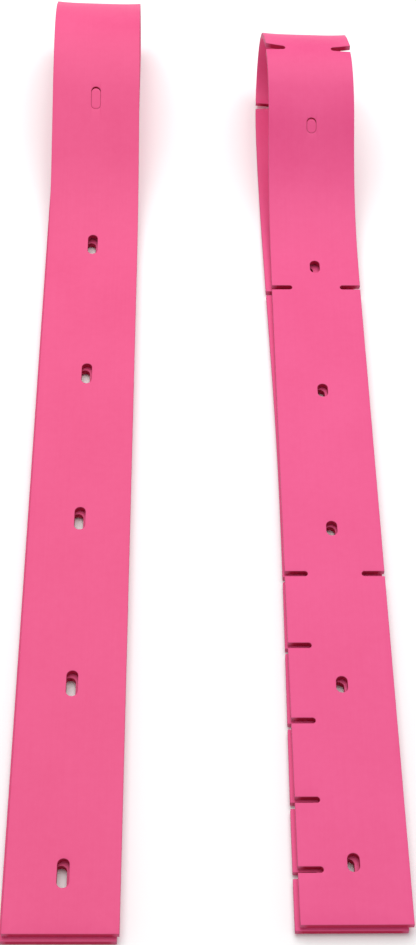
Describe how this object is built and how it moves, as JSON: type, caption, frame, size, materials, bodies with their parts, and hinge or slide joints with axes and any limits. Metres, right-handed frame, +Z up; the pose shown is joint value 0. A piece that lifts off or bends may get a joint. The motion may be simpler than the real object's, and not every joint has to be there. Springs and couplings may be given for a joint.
{
  "type": "floor squeegee blade set",
  "caption": "Rubber floor scrubber squeegee blades stored folded, each strip looped back on itself, with rows of mounting slots and plain or slit wiping edges.",
  "frame": {"origin": "on the floor at the centre of the pair's footprint", "axes": "+Z up; +Y along the rear blade from its cut ends towards the loop; +X from the rear blade to the front blade"},
  "size_m": [0.1812, 0.6084, 0.059],
  "materials": {
    "gum_rubber": "smooth satin rubber sheet"
  },
  "bodies": {
    "rear": {"rear_blade": "gum_rubber"},
    "front": {"front_blade": "gum_rubber"}
  },
  "joints": [
    {"name": "front_lift", "type": "slide", "parent": "rear", "child": "front", "axis": [0, 0, 1], "range_m": [0, 0.1]}
  ]
}
